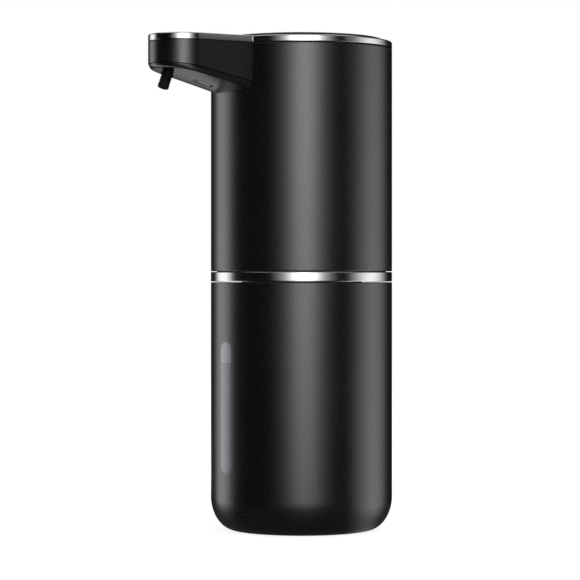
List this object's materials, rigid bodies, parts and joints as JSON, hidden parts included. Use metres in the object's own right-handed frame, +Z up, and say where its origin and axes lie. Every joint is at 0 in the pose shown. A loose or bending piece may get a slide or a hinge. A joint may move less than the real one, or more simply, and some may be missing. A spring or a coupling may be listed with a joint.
{
  "type": "automatic soap dispenser",
  "caption": "Tall round touchless soap dispenser: a bottle with a level window, a lift-off pump head with a forward spout and nozzle, bright rings and a glossy top with a push button.",
  "frame": {"origin": "centre of the foot's underside, on the ground", "axes": "+Z up along the body's axis, -Y along the spout to its tip, +X to the right when the spout points at the viewer's back"},
  "size_m": [0.073, 0.1064, 0.1977],
  "materials": {
    "bottle_black": "satin dark plastic with a fine grain",
    "head_black": "satin dark plastic with a fine grain",
    "cover_black": "satin dark plastic with a fine grain",
    "window": "clear moulded pane",
    "gloss_panel": "high gloss black",
    "gloss_button": "high gloss black",
    "bright_trim": "bright plated",
    "bright_ring": "bright plated",
    "dark_lens": "dark clear to infrared",
    "indicator_white": "milky light guide",
    "black_rubber": "matt",
    "nozzle_rubber": "matt",
    "flap_rubber": "matt",
    "pale_silicone": "milky, soft",
    "grey_plastic": "satin",
    "white_plastic": "satin",
    "steel": "plain",
    "magnet": "dull sintered",
    "circuit_board": "green solder mask",
    "chip_black": "satin",
    "cell_sleeve": "shrink sleeve",
    "lead_sleeve": "soft sleeve"
  },
  "bodies": {
    "bottle": {"bottle_shell": "bottle_black", "level_window": "window", "bottle_foot": "black_rubber"},
    "seal": {"neck_seal": "pale_silicone"},
    "head": {"mid_ring": "bright_ring", "head_base": "grey_plastic", "base_gasket": "black_rubber", "base_screw_1": "steel", "base_screw_2": "steel", "base_screw_3": "steel", "head_housing": "head_black", "spout_cover": "cover_black", "sensor_lens": "dark_lens", "nozzle": "nozzle_rubber", "top_trim": "bright_trim", "top_panel": "gloss_panel", "indicator_lens": "indicator_white", "pump_housing": "grey_plastic", "pump_cover": "grey_plastic", "pump_screw_1": "steel", "pump_screw_2": "steel", "pump_screw_3": "steel", "pump_screw_4": "steel", "idler_pin": "steel", "shaft_seal": "black_rubber", "motor_can": "steel", "motor_end_cap": "white_plastic", "motor_magnets": "magnet", "battery_cell": "cell_sleeve", "chassis": "grey_plastic", "main_board": "circuit_board", "charging_socket": "steel", "display_board": "circuit_board", "button_switch": "chip_black", "sensor_board": "circuit_board", "infrared_emitter": "chip_black", "infrared_receiver": "chip_black", "outlet_tube": "pale_silicone", "dip_tube": "pale_silicone", "intake_filter": "white_plastic", "motor_lead": "lead_sleeve", "battery_lead": "lead_sleeve", "sensor_cable": "lead_sleeve"},
    "button": {"power_button": "gloss_button"},
    "flap": {"port_cover": "flap_rubber"},
    "drive": {"drive_gear": "white_plastic", "motor_shaft": "steel", "motor_rotor": "steel"},
    "idler": {"idler_gear": "white_plastic"}
  },
  "joints": [
    {"name": "head_lift", "type": "slide", "parent": "bottle", "child": "seal", "axis": [0, 0, 1], "range_m": [0, 0.12]},
    {"name": "head_twist", "type": "hinge", "parent": "seal", "child": "head", "pos_m": [0, 0, 0.0999], "axis": [0, 0, 1], "range_deg": [0, 120]},
    {"name": "button_press", "type": "slide", "parent": "head", "child": "button", "axis": [0, 0, -1], "range_m": [0, 0.0007], "stiffness_N_per_m": 800, "springref_m": -0.0005},
    {"name": "port_cover_swing", "type": "hinge", "parent": "head", "child": "flap", "pos_m": [0, 0.0365, 0.1262], "axis": [1, 0, 0], "range_deg": [0, 110]},
    {"name": "drive_spin", "type": "hinge", "parent": "head", "child": "drive", "pos_m": [-0.013, 0.003, 0.1176], "axis": [0, 0, 1], "continuous": true},
    {"name": "idler_spin", "type": "hinge", "parent": "head", "child": "idler", "pos_m": [-0.00175, 0.003, 0.1176], "axis": [0, 0, 1], "continuous": true}
  ],
  "couplings": [
    {"joint": "idler_spin", "follows": "drive_spin", "ratio": -1}
  ]
}
